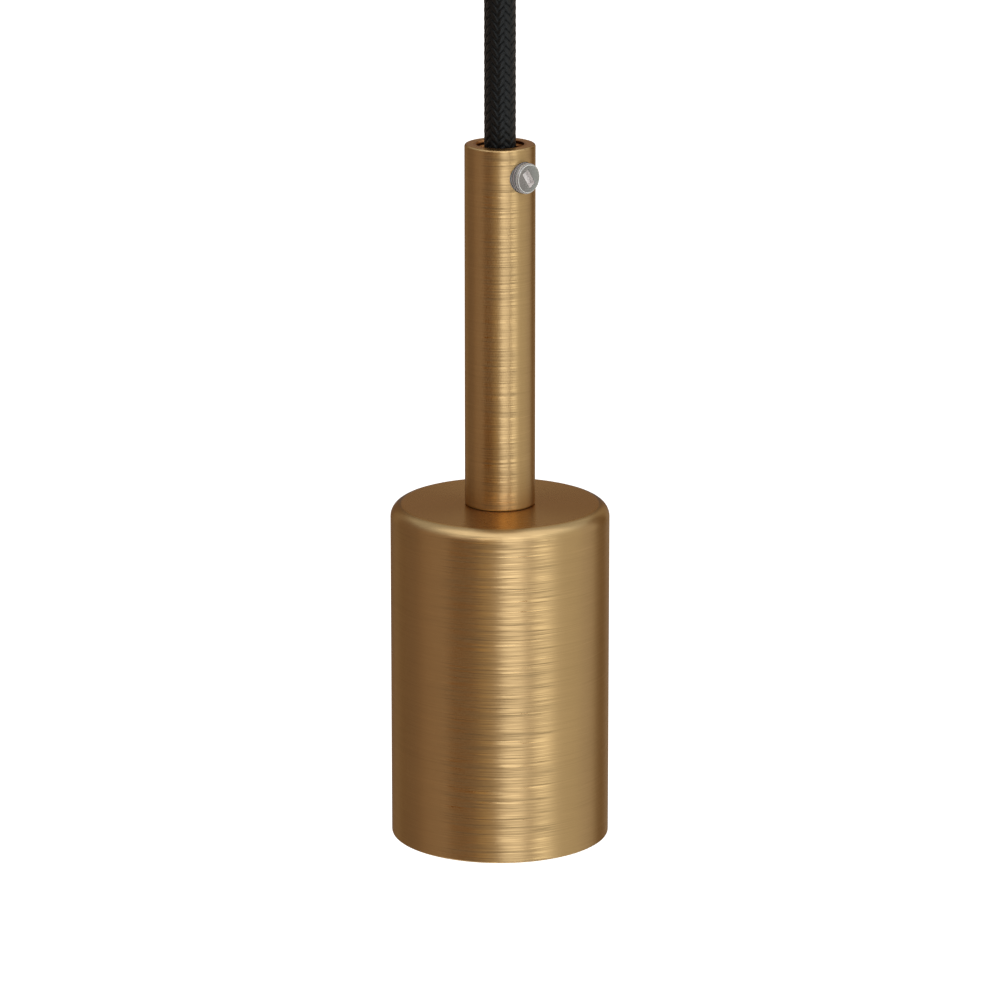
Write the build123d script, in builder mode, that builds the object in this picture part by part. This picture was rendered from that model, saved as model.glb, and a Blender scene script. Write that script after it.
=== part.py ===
# Pendant lamp holder: a spun metal cup and a cable-clamp tube, hung on a braided cable
# from a small ceiling rose. Inside the cup is a moulded holder with an E27 screw shell.
#
# Millimetres. +Z is up. The origin is the centre of the face that meets the ceiling,
# and everything hangs below it on the Z axis. -Y is the front.
from build123d import *
import math
import os

os.makedirs("parts", exist_ok=True)

# Cup: spun sheet, closed at the top and open at the bottom
cup_radius = 21.0
cup_height = 65.7
cup_wall = 1.0
cup_edge = 2.5  # rounding of the top's outer corner
cup_rim_round = 0.3

# Cable-clamp tube on the cup
tube_radius = 6.72
tube_bore = 4.6
tube_length = 70.0
tube_socket_depth = 9.0  # tapped length at the bottom, for the nipple
tube_edge = 0.4  # rounding of both ends' outer edges

# Clamp screws: clear plastic with a closed slot, one in the tube and one in the grip at the ceiling
screw_radius = 2.95
screw_drop = 5.5  # axis below the tube's top
screw_angle = -47.7  # direction of the screws about Z, from +X
screw_stand_out = 1.37
screw_slot_length = 3.4
screw_slot_width = 1.65
screw_slot_depth = 1.3
screw_slot_tilt = 33.0
screw_chamfer = 0.45

# Cable and its cores
cable_radius = 3.05
cable_shown = 44.0  # from the tube's top to the grip at the ceiling
cable_past_thread = 1.0  # past the nipple's lower end, and past the grip's stub
core_radius = 1.05
core_circle = 1.3  # circle that the cores lie on where they leave the cable
core_lead = 3.3  # straight start and end of each core's route
conductor_radius = 0.65
conductor_length = 4.0

# Nipple M10x1 and the stack that it clamps
nipple_radius = 5.0
nipple_bore = 3.75
nipple_end_gap = 0.5  # to the bottom of the tube's tapped hole
nipple_past_nut = 1.5
washer_thickness = 0.8
washer_radius = 7.6
washer_teeth = 12
washer_tooth = 1.2
washer_tooth_twist = 25.0
ring_thickness = 0.8
ring_radius = 7.6
nut_thickness = 2.5
nut_across_flats = 14.0

# Moulded holder: dome above, skirt below
dome_radius = 19.2
dome_wall = 2.2
dome_top_wall = 2.5
dome_length = 28.2
dome_shoulder = 5.0
dome_inner_round = 2.8
rib_thickness = 1.5
rib_reach = 4.0  # from the dome's wall towards the axis
collar_length = 8.0  # threaded collar of the skirt inside the dome
collar_wall = 1.9
skirt_shoulder = 3.0  # full-width band under the dome
skirt_taper = 4.0
skirt_wall = 2.6
skirt_length = 29.0  # from the dome's lower end to the skirt's face
skirt_round = 0.8

# Ceramic contact carrier
carrier_thickness = 8.0
carrier_boss_radius = 5.8
carrier_boss_height = 1.0
pocket_radius = 4.4
pocket_depth = 6.0

# E27 screw shell, rolled from thin sheet
shell_sheet = 0.4
shell_minor = 12.15  # inside radius over the thread's crests
shell_major = 13.25  # inside radius in the thread's roots
shell_pitch = 3.63
shell_turns = 5
shell_land = 0.6
shell_lead = 1.6  # plain length above the first turn
shell_hole = 6.0

# Centre contact, its eyelet and its spring
stud_radius = 1.8
stud_head_radius = 3.7
stud_head_height = 2.0
stud_collar_radius = 2.7
stud_collar_height = 0.8
contact_travel = 1.6
contact_show = 0.8  # head's tip below the carrier's boss at full travel
stud_head_round = 1.4
eyelet_wall = 0.6
eyelet_flange = 0.5
eyelet_flange_radius = 3.7
spring_wire = 0.25
spring_radius = 2.8
spring_turns = 4

# Terminals on the carrier
strip_thickness = 0.8
strip_width = 5.2
terminal_reach = 9.0  # terminal block's centre from the axis
terminal_width = 5.0
terminal_depth = 6.0
terminal_height = 5.8
terminal_hole = 1.0
terminal_screw_radius = 1.45
terminal_head_radius = 2.2
terminal_head_height = 1.4
terminal_slot_turn = 35.0
rivet_radius = 1.0
rivet_head_radius = 2.0
rivet_head_height = 0.8
rivet_head_taper = 20.0
rivet_x = 6.0
rivet_y = 7.0
foot_round = 2.6
earth_tab_width = 5.0
earth_reach = 9.4  # crimp barrel's centre from the axis
earth_barrel_radius = 1.7
earth_barrel_length = 5.0
earth_leg = 2.0

# Ceiling rose
rose_radius = 32.0
rose_height = 30.0
rose_wall = 1.0
rose_edge = 2.5
grip_length = 12.0
grip_nut_past = 1.5
bracket_thickness = 2.0
bracket_width = 16.0
bracket_tab = 12.0
bracket_gap = 0.3
ceiling_hole_radius = 2.25
ceiling_hole_spacing = 44.0
side_screw_radius = 2.0
side_screw_level = 7.0
side_head_radius = 3.4
side_head_height = 1.8
side_slot_width = 0.9
side_slot_turn = 15.0
side_screw_past_tab = 1.0
block_pitch = 7.5
block_width = 24.0
block_depth = 12.0
block_height = 9.0
block_corner = 1.5
block_peg_radius = 1.9
barrel_radius = 1.8
barrel_length = 7.0
block_screw_radius = 1.2
block_screw_level = 5.0  # below the block's top
block_screw_sink = 1.0  # of its head below the block's front

# Clearances
thread_gap = 0.05  # radial, between an external and an internal thread
hole_gap = 0.2  # radial, round the nipple in a plain hole
slide_gap = 0.08  # radial, round the contact stud
press_gap = 0.3  # from a clamp screw's tip to the cable
shell_gap = 0.3  # radial, from the screw shell to the skirt
face_gap = 0.05

# Levels
grip_top = -rose_height
grip_bottom = grip_top - grip_length
tube_top = grip_bottom - cable_shown
cup_top = tube_top - tube_length
cup_rim = cup_top - cup_height
washer_top = cup_top - cup_wall
dome_top = washer_top - washer_thickness
ring_top = dome_top - dome_top_wall
nut_top = ring_top - ring_thickness
nipple_bottom = nut_top - nut_thickness - nipple_past_nut
cable_bottom = nipple_bottom - cable_past_thread
dome_bottom = dome_top - dome_length
collar_top = dome_bottom + collar_length
carrier_bottom = dome_bottom - skirt_shoulder
carrier_top = carrier_bottom + carrier_thickness
boss_bottom = carrier_bottom - carrier_boss_height
pocket_floor = boss_bottom + pocket_depth
skirt_bottom = dome_bottom - skirt_length
stud_tip = boss_bottom - contact_travel - contact_show
stud_head_top = stud_tip + stud_head_height
terminal_top = carrier_top + terminal_height
grip_thread_top = grip_top + rose_wall + nut_thickness + grip_nut_past
cable_top = grip_thread_top + cable_past_thread
block_top = -bracket_thickness
block_bottom = block_top - block_height

# Fits worked out from the sizes above
nipple_thread_bore = nipple_radius + thread_gap
nipple_hole = nipple_radius + hole_gap
collar_radius = dome_radius - dome_wall - thread_gap
carrier_radius = collar_radius - collar_wall - hole_gap
shell_outer = shell_major + shell_sheet
skirt_bore = shell_outer + shell_gap
stud_guide = stud_radius + slide_gap
eyelet_radius = stud_guide + eyelet_wall
eyelet_hole = eyelet_radius + thread_gap
rivet_hole = rivet_radius + thread_gap
screw_hole = screw_radius + thread_gap
rose_inner = rose_radius - rose_wall
bracket_half = math.sqrt(rose_inner**2 - (bracket_width / 2) ** 2) - bracket_gap


def side_plane(angle, level, out):
    """Plane across a sideways axis: Z points out from the Z axis at this angle, Y points up."""
    turn = math.radians(angle)
    outward = (math.cos(turn), math.sin(turn), 0)
    across = (-math.sin(turn), math.cos(turn), 0)
    return Plane((outward[0] * out, outward[1] * out, level), x_dir=across, z_dir=outward)


def corner_radii(points):
    """Largest even bend at each corner of a core's route: 0.45 of the shorter run."""
    radii = []
    for before, corner, after in zip(points, points[1:], points[2:]):
        run_in = Vector(*corner) - Vector(*before)
        run_out = Vector(*after) - Vector(*corner)
        turn = math.radians(run_in.get_angle(run_out))
        radii.append(0.45 * min(run_in.length, run_out.length) / math.tan(turn / 2))
    return radii


# Cup
with BuildPart() as cup:
    with BuildSketch(Plane.XY.offset(cup_rim)):
        Circle(cup_radius)
    extrude(amount=cup_height)
    fillet(cup.edges().group_by(Axis.Z)[-1], cup_edge)
    offset(amount=-cup_wall, openings=cup.faces().sort_by(Axis.Z)[0])
    with Locations((0, 0, cup_top)):
        Hole(nipple_hole, depth=2 * cup_wall)
    fillet(cup.edges().group_by(Axis.Z)[0], cup_rim_round)
cup.part.label = "cup"
export_step(cup.part, "parts/cup.step")

# Cable-clamp tube, with its tapped foot and the tapped hole for the clamp screw
with BuildPart() as clamp_tube:
    with BuildSketch(Plane.XY.offset(cup_top)):
        Circle(tube_radius)
        Circle(tube_bore, mode=Mode.SUBTRACT)
    extrude(amount=tube_length)
    with BuildSketch(Plane.XY.offset(cup_top)):
        Circle(nipple_thread_bore)
    extrude(amount=tube_socket_depth, mode=Mode.SUBTRACT)
    outer_rims = clamp_tube.edges().filter_by(GeomType.CIRCLE).filter_by(
        lambda edge: abs(edge.radius - tube_radius) < 1e-6
    )
    fillet(outer_rims, tube_edge)
    with BuildSketch(side_plane(screw_angle, tube_top - screw_drop, 0)):
        Circle(screw_hole)
    extrude(amount=2 * tube_radius, mode=Mode.SUBTRACT)
clamp_tube.part.label = "clamp_tube"
export_step(clamp_tube.part, "parts/clamp_tube.step")


def make_clamp_screw(name, level):
    """Slotted screw that reaches from just clear of the cable to a little outside its carrier."""
    face = side_plane(screw_angle, level, tube_radius + screw_stand_out)
    with BuildPart() as screw:
        with BuildSketch(face):
            Circle(screw_radius)
        extrude(amount=cable_radius + press_gap - tube_radius - screw_stand_out)
        chamfer(screw.edges().filter_by(GeomType.CIRCLE), screw_chamfer)
        with BuildSketch(face):
            Rectangle(screw_slot_width, screw_slot_length, rotation=screw_slot_tilt)
        extrude(amount=-screw_slot_depth, mode=Mode.SUBTRACT)
    screw.part.label = name
    export_step(screw.part, "parts/" + name + ".step")


# The two clamp screws: in the tube, and half way up the cord grip
make_clamp_screw("clamp_screw", tube_top - screw_drop)
make_clamp_screw("grip_screw", grip_bottom + grip_length / 2)

# Cable: one straight length, held taut by the holder's weight
with BuildPart() as cable:
    with BuildSketch(Plane.XY.offset(cable_bottom)):
        Circle(cable_radius)
    extrude(amount=cable_top - cable_bottom)
cable.part.label = "cable"
export_step(cable.part, "parts/cable.step")

# Nipple
with BuildPart() as nipple:
    with BuildSketch(Plane.XY.offset(nipple_bottom)):
        Circle(nipple_radius)
        Circle(nipple_bore, mode=Mode.SUBTRACT)
    extrude(amount=cup_top + tube_socket_depth - nipple_end_gap - nipple_bottom)
nipple.part.label = "nipple"
export_step(nipple.part, "parts/nipple.step")

# Toothed lock washer
with BuildPart() as lock_washer:
    with BuildSketch(Plane.XY.offset(dome_top)):
        Circle(washer_radius)
        with PolarLocations(washer_radius, washer_teeth):
            Rectangle(2 * washer_tooth, washer_tooth, rotation=washer_tooth_twist)
        Circle(nipple_hole, mode=Mode.SUBTRACT)
    extrude(amount=washer_thickness)
lock_washer.part.label = "lock_washer"
export_step(lock_washer.part, "parts/lock_washer.step")

# Hollow of the dome, taken out of it below
with BuildPart() as dome_hollow:
    with BuildSketch(Plane.XY.offset(dome_bottom)):
        Circle(dome_radius - dome_wall)
    extrude(amount=dome_length - dome_top_wall)
    fillet(dome_hollow.edges().group_by(Axis.Z)[-1], dome_inner_round)

# One rib of the dome: it holds the contact carrier down and clears the skirt's collar
with BuildPart() as dome_rib:
    with BuildSketch(Plane.XZ):
        rib_outside = dome_radius - dome_wall / 2
        rib_inside = dome_radius - dome_wall - rib_reach
        rib_foot = carrier_radius - hole_gap
        with BuildLine():
            Polyline(
                (rib_inside, ring_top + dome_top_wall / 2),
                (rib_outside - dome_inner_round, ring_top + dome_top_wall / 2),
                (rib_outside, ring_top - dome_inner_round),
                (rib_outside, collar_top + face_gap),
                (rib_foot, collar_top + face_gap),
                (rib_foot, carrier_top),
                (rib_inside, carrier_top),
                close=True,
            )
        make_face()
    extrude(amount=rib_thickness / 2, both=True)

# Dome: upper shell of the moulded holder, ribbed inside down to the contact carrier
with BuildPart() as dome:
    with BuildSketch(Plane.XY.offset(dome_bottom)):
        Circle(dome_radius)
    extrude(amount=dome_length)
    fillet(dome.edges().group_by(Axis.Z)[-1], dome_shoulder)
    add(dome_hollow.part, mode=Mode.SUBTRACT)
    for quarter in range(4):
        add(dome_rib.part.rotate(Axis.Z, 45 + 90 * quarter))
    with Locations((0, 0, dome_top)):
        Hole(nipple_hole, depth=2 * dome_top_wall)
dome.part.label = "dome"
export_step(dome.part, "parts/dome.step")

# Earth ring terminal, with a crimp barrel bent down on the +Y side
with BuildPart() as earth_ring:
    with BuildSketch(Plane.XY.offset(nut_top)):
        Circle(ring_radius)
        with Locations((0, (ring_radius + earth_reach) / 2)):
            Rectangle(earth_tab_width, earth_reach - ring_radius + ring_radius / 2)
        Circle(nipple_hole, mode=Mode.SUBTRACT)
    extrude(amount=ring_thickness)
    with BuildSketch(Plane.XY.offset(nut_top)):
        with Locations((0, earth_reach)):
            Rectangle(2 * earth_barrel_radius, ring_thickness)
    extrude(amount=-earth_leg)
    with BuildSketch(Plane.XY.offset(nut_top - earth_leg)):
        with Locations((0, earth_reach)):
            Circle(earth_barrel_radius)
    extrude(amount=-earth_barrel_length)
    with BuildSketch(Plane.XY.offset(nut_top - earth_leg - earth_barrel_length)):
        with Locations((0, earth_reach)):
            Circle(core_radius + thread_gap)
    extrude(amount=conductor_length, mode=Mode.SUBTRACT)
earth_ring.part.label = "earth_ring"
export_step(earth_ring.part, "parts/earth_ring.step")

# Hex nut under the dome's top
with BuildPart() as nipple_nut:
    with BuildSketch(Plane.XY.offset(nut_top)):
        RegularPolygon(nut_across_flats / 2, 6, major_radius=False)
        Circle(nipple_thread_bore, mode=Mode.SUBTRACT)
    extrude(amount=-nut_thickness)
nipple_nut.part.label = "nipple_nut"
export_step(nipple_nut.part, "parts/nipple_nut.step")

# Skirt: lower shell, with a threaded collar inside the dome and a ledge for the carrier
with BuildPart() as skirt:
    with BuildSketch(Plane.XZ):
        skirt_outer = skirt_bore + skirt_wall
        collar_inner = carrier_radius + hole_gap
        with BuildLine():
            Polyline(
                (collar_inner, collar_top),
                (collar_radius, collar_top),
                (collar_radius, dome_bottom),
                (dome_radius, dome_bottom),
                (dome_radius, carrier_bottom),
                (skirt_outer, carrier_bottom - skirt_taper),
                (skirt_outer, skirt_bottom),
                (skirt_bore, skirt_bottom),
                (skirt_bore, carrier_bottom),
                (collar_inner, carrier_bottom),
                close=True,
            )
        make_face()
    revolve(axis=Axis.Z)
    fillet(skirt.edges().group_by(Axis.Z)[0], skirt_round)
skirt.part.label = "skirt"
export_step(skirt.part, "parts/skirt.step")

# Contact carrier: ceramic disc with a pocket for the spring and a seat for the live strip
with BuildPart() as contact_carrier:
    with BuildSketch(Plane.XY.offset(carrier_bottom)):
        Circle(carrier_radius)
    extrude(amount=carrier_thickness)
    with BuildSketch(Plane.XY.offset(boss_bottom)):
        Circle(carrier_boss_radius)
    extrude(amount=carrier_boss_height)
    with BuildSketch(Plane.XY.offset(boss_bottom)):
        Circle(pocket_radius)
    extrude(amount=pocket_depth, mode=Mode.SUBTRACT)
    with BuildSketch(Plane.XY.offset(carrier_top)):
        Circle(eyelet_hole)
        with Locations((-rivet_x, rivet_y), (rivet_x, -rivet_y)):
            Circle(rivet_hole)
    extrude(amount=-carrier_thickness - carrier_boss_height, mode=Mode.SUBTRACT)
    with BuildSketch(Plane.XY.offset(carrier_top)):
        with Locations((terminal_reach / 2, 0)):
            Rectangle(terminal_reach, strip_width + 2 * hole_gap)
        with Locations((terminal_reach, 0)):
            Rectangle(terminal_width + 2 * hole_gap, terminal_depth + 2 * hole_gap)
        Circle(strip_width / 2 + 1)
    extrude(amount=-strip_thickness, mode=Mode.SUBTRACT)
contact_carrier.part.label = "contact_carrier"
export_step(contact_carrier.part, "parts/contact_carrier.step")


def thread_wall(offset_out):
    """One side of the rolled shell's wall, from the flange down: crest and root lands."""
    top = carrier_bottom - shell_lead
    slope = (shell_pitch - 2 * shell_land) / 2
    points = []
    for turn in range(shell_turns):
        start = top - turn * shell_pitch
        points.append((shell_major + offset_out, start))
        points.append((shell_major + offset_out, start - shell_land))
        points.append((shell_minor + offset_out, start - shell_land - slope))
        points.append((shell_minor + offset_out, start - 2 * shell_land - slope))
    points.append((shell_major + offset_out, top - shell_turns * shell_pitch))
    points.append((shell_major + offset_out, top - shell_turns * shell_pitch - shell_lead))
    return points


# Screw shell: flange riveted under the carrier, wall rolled into the E27 thread
with BuildPart() as screw_shell:
    with BuildSketch(Plane.XZ):
        with BuildLine():
            Polyline(
                (shell_hole, carrier_bottom),
                (shell_outer, carrier_bottom),
                *thread_wall(shell_sheet),
                *reversed(thread_wall(0)),
                (shell_major, carrier_bottom - shell_sheet),
                (shell_hole, carrier_bottom - shell_sheet),
                close=True,
            )
        make_face()
    revolve(axis=Axis.Z)
    with BuildSketch(Plane.XY.offset(carrier_bottom)):
        with Locations((-rivet_x, rivet_y), (rivet_x, -rivet_y)):
            Circle(rivet_hole)
    extrude(amount=-shell_sheet, mode=Mode.SUBTRACT)
screw_shell.part.label = "screw_shell"
export_step(screw_shell.part, "parts/screw_shell.step")

# Rivets through flange and carrier: the left one also holds the neutral terminal's foot
with BuildPart() as shell_rivets:
    for place, seat in (
        ((-rivet_x, rivet_y), carrier_top + strip_thickness),
        ((rivet_x, -rivet_y), carrier_top),
    ):
        with BuildSketch(Plane.XY.offset(carrier_bottom - shell_sheet)):
            with Locations(place):
                Circle(rivet_radius)
        extrude(amount=seat - carrier_bottom + shell_sheet)
        for level, height in (
            (carrier_bottom - shell_sheet, -rivet_head_height),
            (seat, rivet_head_height),
        ):
            with BuildSketch(Plane.XY.offset(level)):
                with Locations(place):
                    Circle(rivet_head_radius)
            extrude(amount=height, taper=rivet_head_taper)
shell_rivets.part.label = "shell_rivets"
export_step(shell_rivets.part, "parts/shell_rivets.step")

# Centre eyelet: hollow rivet through live strip and carrier, which guides the contact stud
with BuildPart() as centre_eyelet:
    with BuildSketch(Plane.XY.offset(pocket_floor - eyelet_flange)):
        Circle(eyelet_flange_radius)
    extrude(amount=eyelet_flange)
    with BuildSketch(Plane.XY.offset(pocket_floor)):
        Circle(eyelet_radius)
    extrude(amount=carrier_top - pocket_floor)
    with BuildSketch(Plane.XY.offset(carrier_top)):
        Circle(eyelet_flange_radius)
    extrude(amount=eyelet_flange)
    with Locations((0, 0, carrier_top + eyelet_flange)):
        Hole(stud_guide)
centre_eyelet.part.label = "centre_eyelet"
export_step(centre_eyelet.part, "parts/centre_eyelet.step")

# Centre contact: domed stud that slides in the eyelet, stopped by its collar
with BuildPart() as centre_contact:
    with BuildSketch(Plane.XY.offset(stud_tip)):
        Circle(stud_head_radius)
    extrude(amount=stud_head_height)
    fillet(centre_contact.edges().group_by(Axis.Z)[0], stud_head_round)
    collar_seat = carrier_top + eyelet_flange + face_gap
    with BuildSketch(Plane.XY.offset(stud_head_top)):
        Circle(stud_radius)
    extrude(amount=collar_seat - stud_head_top)
    with BuildSketch(Plane.XY.offset(collar_seat)):
        Circle(stud_collar_radius)
    extrude(amount=stud_collar_height)
centre_contact.part.label = "centre_contact"
export_step(centre_contact.part, "parts/centre_contact.step")

# Contact spring between the eyelet's flange and the stud's head
with BuildPart() as contact_spring:
    spring_bottom = stud_head_top + face_gap + spring_wire
    spring_top = pocket_floor - eyelet_flange - face_gap - spring_wire
    spring_pitch = (spring_top - spring_bottom) / spring_turns
    with BuildLine():
        coil = Helix(spring_pitch, spring_top - spring_bottom, spring_radius, center=(0, 0, spring_bottom))
    with BuildSketch(Plane(origin=coil @ 0, z_dir=coil % 0)):
        Circle(spring_wire)
    sweep(path=coil, is_frenet=True)
contact_spring.part.label = "contact_spring"
export_step(contact_spring.part, "parts/contact_spring.step")


def terminal_body(side, foot_level):
    """Upright brass block: wire hole from the top, screw hole from the front."""
    with BuildPart() as body:
        with BuildSketch(Plane.XY.offset(foot_level)):
            with Locations((side * terminal_reach, 0)):
                Rectangle(terminal_width, terminal_depth)
        extrude(amount=terminal_top - foot_level)
        with BuildSketch(Plane.XY.offset(terminal_top)):
            with Locations((side * terminal_reach, 0)):
                Circle(terminal_hole)
        extrude(amount=-conductor_length - hole_gap, mode=Mode.SUBTRACT)
        with BuildSketch(Plane.XZ.offset(terminal_depth / 2)):
            with Locations((side * terminal_reach, terminal_top - terminal_height / 2)):
                Circle(terminal_screw_radius + thread_gap)
        extrude(amount=-terminal_depth / 2, mode=Mode.SUBTRACT)
    return body.part


live_body = terminal_body(1, carrier_top - strip_thickness)
neutral_body = terminal_body(-1, carrier_top)


# Live terminal: strip under the eyelet, with its block
with BuildPart() as live_terminal:
    with BuildSketch(Plane.XY.offset(carrier_top - strip_thickness)):
        with Locations((terminal_reach / 2, 0)):
            Rectangle(terminal_reach, strip_width)
        Circle(strip_width / 2 + 1 - hole_gap)
        Circle(eyelet_hole, mode=Mode.SUBTRACT)
    extrude(amount=strip_thickness)
    add(live_body)
live_terminal.part.label = "live_terminal"
export_step(live_terminal.part, "parts/live_terminal.step")

# Neutral terminal: foot riveted to the shell, with its block
with BuildPart() as neutral_terminal:
    with BuildSketch(Plane.XY.offset(carrier_top)):
        with Locations((-terminal_reach, 0)):
            Circle(terminal_depth / 2)
        with Locations((-rivet_x, rivet_y)):
            Circle(foot_round)
        make_hull()
        with Locations((-rivet_x, rivet_y)):
            Circle(rivet_hole, mode=Mode.SUBTRACT)
    extrude(amount=strip_thickness)
    add(neutral_body)
neutral_terminal.part.label = "neutral_terminal"
export_step(neutral_terminal.part, "parts/neutral_terminal.step")

# Terminal screws, one from the front in each block
with BuildPart() as terminal_screws:
    for side in (-1, 1):
        level = terminal_top - terminal_height / 2
        with BuildSketch(Plane.XZ.offset(terminal_depth / 2)):
            with Locations((side * terminal_reach, level)):
                Circle(terminal_screw_radius)
        extrude(amount=conductor_radius + face_gap - terminal_depth / 2)
        with BuildSketch(Plane.XZ.offset(terminal_depth / 2)):
            with Locations((side * terminal_reach, level)):
                Circle(terminal_head_radius)
        extrude(amount=terminal_head_height)
        with BuildSketch(Plane.XZ.offset(terminal_depth / 2 + terminal_head_height)):
            with Locations((side * terminal_reach, level)):
                Rectangle(
                    3 * terminal_head_radius,
                    terminal_head_height / 2,
                    rotation=terminal_slot_turn,
                )
        extrude(amount=-terminal_head_height / 2, mode=Mode.SUBTRACT)
terminal_screws.part.label = "terminal_screws"
export_step(terminal_screws.part, "parts/terminal_screws.step")

# Ceiling rose: spun metal cup, open towards the ceiling
with BuildPart() as rose_cup:
    with BuildSketch(Plane.XY.offset(-rose_height)):
        Circle(rose_radius)
    extrude(amount=rose_height)
    fillet(rose_cup.edges().group_by(Axis.Z)[0], rose_edge)
    offset(amount=-rose_wall, openings=rose_cup.faces().sort_by(Axis.Z)[-1])
    with Locations((0, 0, -rose_height)):
        Hole(nipple_hole, depth=2 * rose_wall)
    with BuildSketch(side_plane(0, -side_screw_level, 0)):
        Circle(side_screw_radius + hole_gap)
    extrude(amount=2 * rose_radius, both=True, mode=Mode.SUBTRACT)
rose_cup.part.label = "rose_cup"
export_step(rose_cup.part, "parts/rose_cup.step")

# Ceiling bracket: bar with bent tabs that the side screws go into
with BuildPart() as rose_bracket:
    with BuildSketch(Plane.XZ):
        with Locations((0, -bracket_tab / 2)):
            Rectangle(2 * bracket_half, bracket_tab)
        with Locations((0, -bracket_thickness - bracket_tab / 2)):
            Rectangle(2 * (bracket_half - bracket_thickness), bracket_tab, mode=Mode.SUBTRACT)
    extrude(amount=bracket_width / 2, both=True)
    bends = rose_bracket.edges().filter_by(Axis.Y).group_by(Axis.Z)[-1]
    fillet(bends, bracket_thickness)
    with Locations(
        (-ceiling_hole_spacing / 2, 0, 0),
        (ceiling_hole_spacing / 2, 0, 0),
    ):
        Hole(ceiling_hole_radius, depth=2 * bracket_thickness)
    with Locations((0, 0, 0)):
        Hole(block_peg_radius + hole_gap / 2, depth=2 * bracket_thickness)
    with BuildSketch(side_plane(0, -side_screw_level, 0)):
        Circle(side_screw_radius + thread_gap)
    extrude(amount=2 * bracket_half, both=True, mode=Mode.SUBTRACT)
rose_bracket.part.label = "rose_bracket"
export_step(rose_bracket.part, "parts/rose_bracket.step")

# Side screws of the rose, one at each end of the bracket
with BuildPart() as rose_side_screws:
    for angle in (0, 180):
        with BuildSketch(side_plane(angle, -side_screw_level, rose_radius)):
            Circle(side_screw_radius)
        extrude(amount=bracket_half - bracket_thickness - side_screw_past_tab - rose_radius)
        with BuildSketch(side_plane(angle, -side_screw_level, rose_radius)):
            Circle(side_head_radius)
        extrude(amount=side_head_height)
        with BuildSketch(side_plane(angle, -side_screw_level, rose_radius + side_head_height)):
            Rectangle(3 * side_head_radius, side_slot_width, rotation=side_slot_turn)
        extrude(amount=-side_head_height / 2, mode=Mode.SUBTRACT)
rose_side_screws.part.label = "rose_side_screws"
export_step(rose_side_screws.part, "parts/rose_side_screws.step")

# Cord grip: short copy of the clamp tube's end, with a threaded stub up through the rose
with BuildPart() as cord_grip:
    with BuildSketch(Plane.XY.offset(grip_bottom)):
        Circle(tube_radius)
    extrude(amount=grip_length)
    fillet(cord_grip.edges().group_by(Axis.Z)[0], tube_edge)
    with BuildSketch(Plane.XY.offset(grip_top)):
        Circle(nipple_radius)
    extrude(amount=grip_thread_top - grip_top)
    with BuildSketch(Plane.XY.offset(grip_bottom)):
        Circle(nipple_bore)
    extrude(amount=grip_thread_top - grip_bottom, mode=Mode.SUBTRACT)
    with BuildSketch(side_plane(screw_angle, grip_bottom + grip_length / 2, 0)):
        Circle(screw_hole)
    extrude(amount=2 * tube_radius, mode=Mode.SUBTRACT)
cord_grip.part.label = "cord_grip"
export_step(cord_grip.part, "parts/cord_grip.step")

# Nut that holds the cord grip in the rose
with BuildPart() as grip_nut:
    with BuildSketch(Plane.XY.offset(grip_top + rose_wall)):
        RegularPolygon(nut_across_flats / 2, 6, major_radius=False)
        Circle(nipple_thread_bore, mode=Mode.SUBTRACT)
    extrude(amount=nut_thickness)
grip_nut.part.label = "grip_nut"
export_step(grip_nut.part, "parts/grip_nut.step")

# Three-pole terminal block, pegged under the bracket, with its wire entries downwards
pole_places = [(-block_pitch, 0), (0, 0), (block_pitch, 0)]
with BuildPart() as terminal_block:
    with BuildSketch(Plane.XY.offset(block_bottom)):
        RectangleRounded(block_width, block_depth, block_corner)
    extrude(amount=block_height)
    with BuildSketch(Plane.XY.offset(block_top)):
        Circle(block_peg_radius)
    extrude(amount=bracket_thickness - hole_gap)
    with BuildSketch(Plane.XY.offset(block_bottom)):
        with Locations(*pole_places):
            Circle(barrel_radius + thread_gap)
    extrude(amount=barrel_length, mode=Mode.SUBTRACT)
    with BuildSketch(Plane.XZ.offset(block_depth / 2)):
        with Locations(*[(x, block_top - block_screw_level) for x, _ in pole_places]):
            Circle(block_screw_radius + hole_gap)
    extrude(amount=-block_depth / 2, mode=Mode.SUBTRACT)
terminal_block.part.label = "terminal_block"
export_step(terminal_block.part, "parts/terminal_block.step")

# Brass barrels in the terminal block
with BuildPart() as block_barrels:
    with BuildSketch(Plane.XY.offset(block_bottom)):
        with Locations(*pole_places):
            Circle(barrel_radius)
    extrude(amount=barrel_length)
    with BuildSketch(Plane.XY.offset(block_bottom)):
        with Locations(*pole_places):
            Circle(terminal_hole)
    extrude(amount=conductor_length + hole_gap, mode=Mode.SUBTRACT)
    with BuildSketch(Plane.XZ.offset(block_depth / 2)):
        with Locations(*[(x, block_top - block_screw_level) for x, _ in pole_places]):
            Circle(block_screw_radius + thread_gap)
    extrude(amount=-block_depth / 2, mode=Mode.SUBTRACT)
block_barrels.part.label = "block_barrels"
export_step(block_barrels.part, "parts/block_barrels.step")

# Screws of the terminal block, from the front
with BuildPart() as block_screws:
    for x, _ in pole_places:
        with BuildSketch(Plane.XZ.offset(block_depth / 2 - block_screw_sink)):
            with Locations((x, block_top - block_screw_level)):
                Circle(block_screw_radius)
        extrude(amount=conductor_radius + face_gap - block_depth / 2 + block_screw_sink)
        with BuildSketch(Plane.XZ.offset(block_depth / 2 - block_screw_sink)):
            with Locations((x, block_top - block_screw_level)):
                Rectangle(3 * block_screw_radius, block_screw_radius / 2)
        extrude(amount=-block_screw_radius / 2, mode=Mode.SUBTRACT)
block_screws.part.label = "block_screws"
export_step(block_screws.part, "parts/block_screws.step")

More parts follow.
